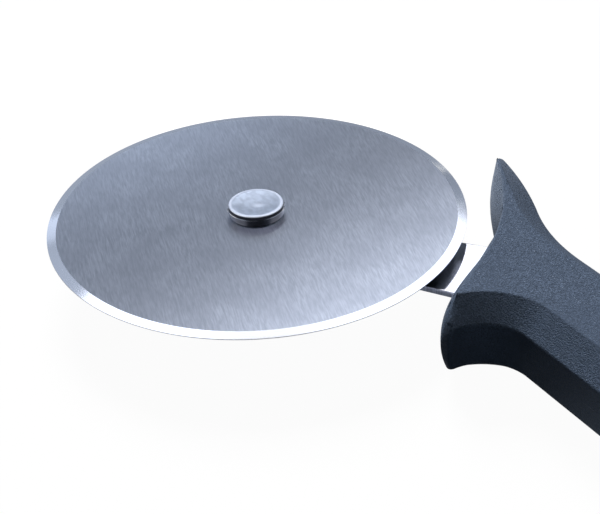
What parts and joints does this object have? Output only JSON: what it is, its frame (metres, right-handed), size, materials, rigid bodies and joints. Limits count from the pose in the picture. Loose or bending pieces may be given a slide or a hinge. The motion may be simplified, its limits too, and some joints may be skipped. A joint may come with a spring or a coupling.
{
  "type": "pizza cutter",
  "caption": "Hand pizza cutter: a ground steel wheel turns on a riveted axle at the end of a flat shank, which is moulded into a bevelled grip with a thumb wing and a finger guard.",
  "frame": {"origin": "centre of the wheel, halfway through its thickness", "axes": "+X back along the grip, +Y towards the thumb wing, +Z along the axle towards the rivet's head"},
  "size_m": [0.226, 0.1124, 0.0196],
  "materials": {
    "wheel_steel": "brushed faces with a bright ground edge",
    "rivet_steel": "satin",
    "washer_steel": "satin",
    "shank_steel": "polished",
    "handle_plastic": "fine grain"
  },
  "bodies": {
    "cutter": {"handle": "handle_plastic", "shank": "shank_steel", "axle_rivet": "rivet_steel", "axle_sleeve": "washer_steel", "head_washer": "washer_steel", "tail_washer": "washer_steel"},
    "wheel": {"blade_wheel": "wheel_steel"},
    "washer": {"thrust_washer": "washer_steel"}
  },
  "joints": [
    {"name": "wheel_spin", "type": "hinge", "parent": "cutter", "child": "wheel", "pos_m": [0, 0, 0], "axis": [0, 0, 1], "continuous": true},
    {"name": "washer_spin", "type": "hinge", "parent": "cutter", "child": "washer", "pos_m": [0, 0, -0.0018], "axis": [0, 0, 1], "continuous": true}
  ]
}
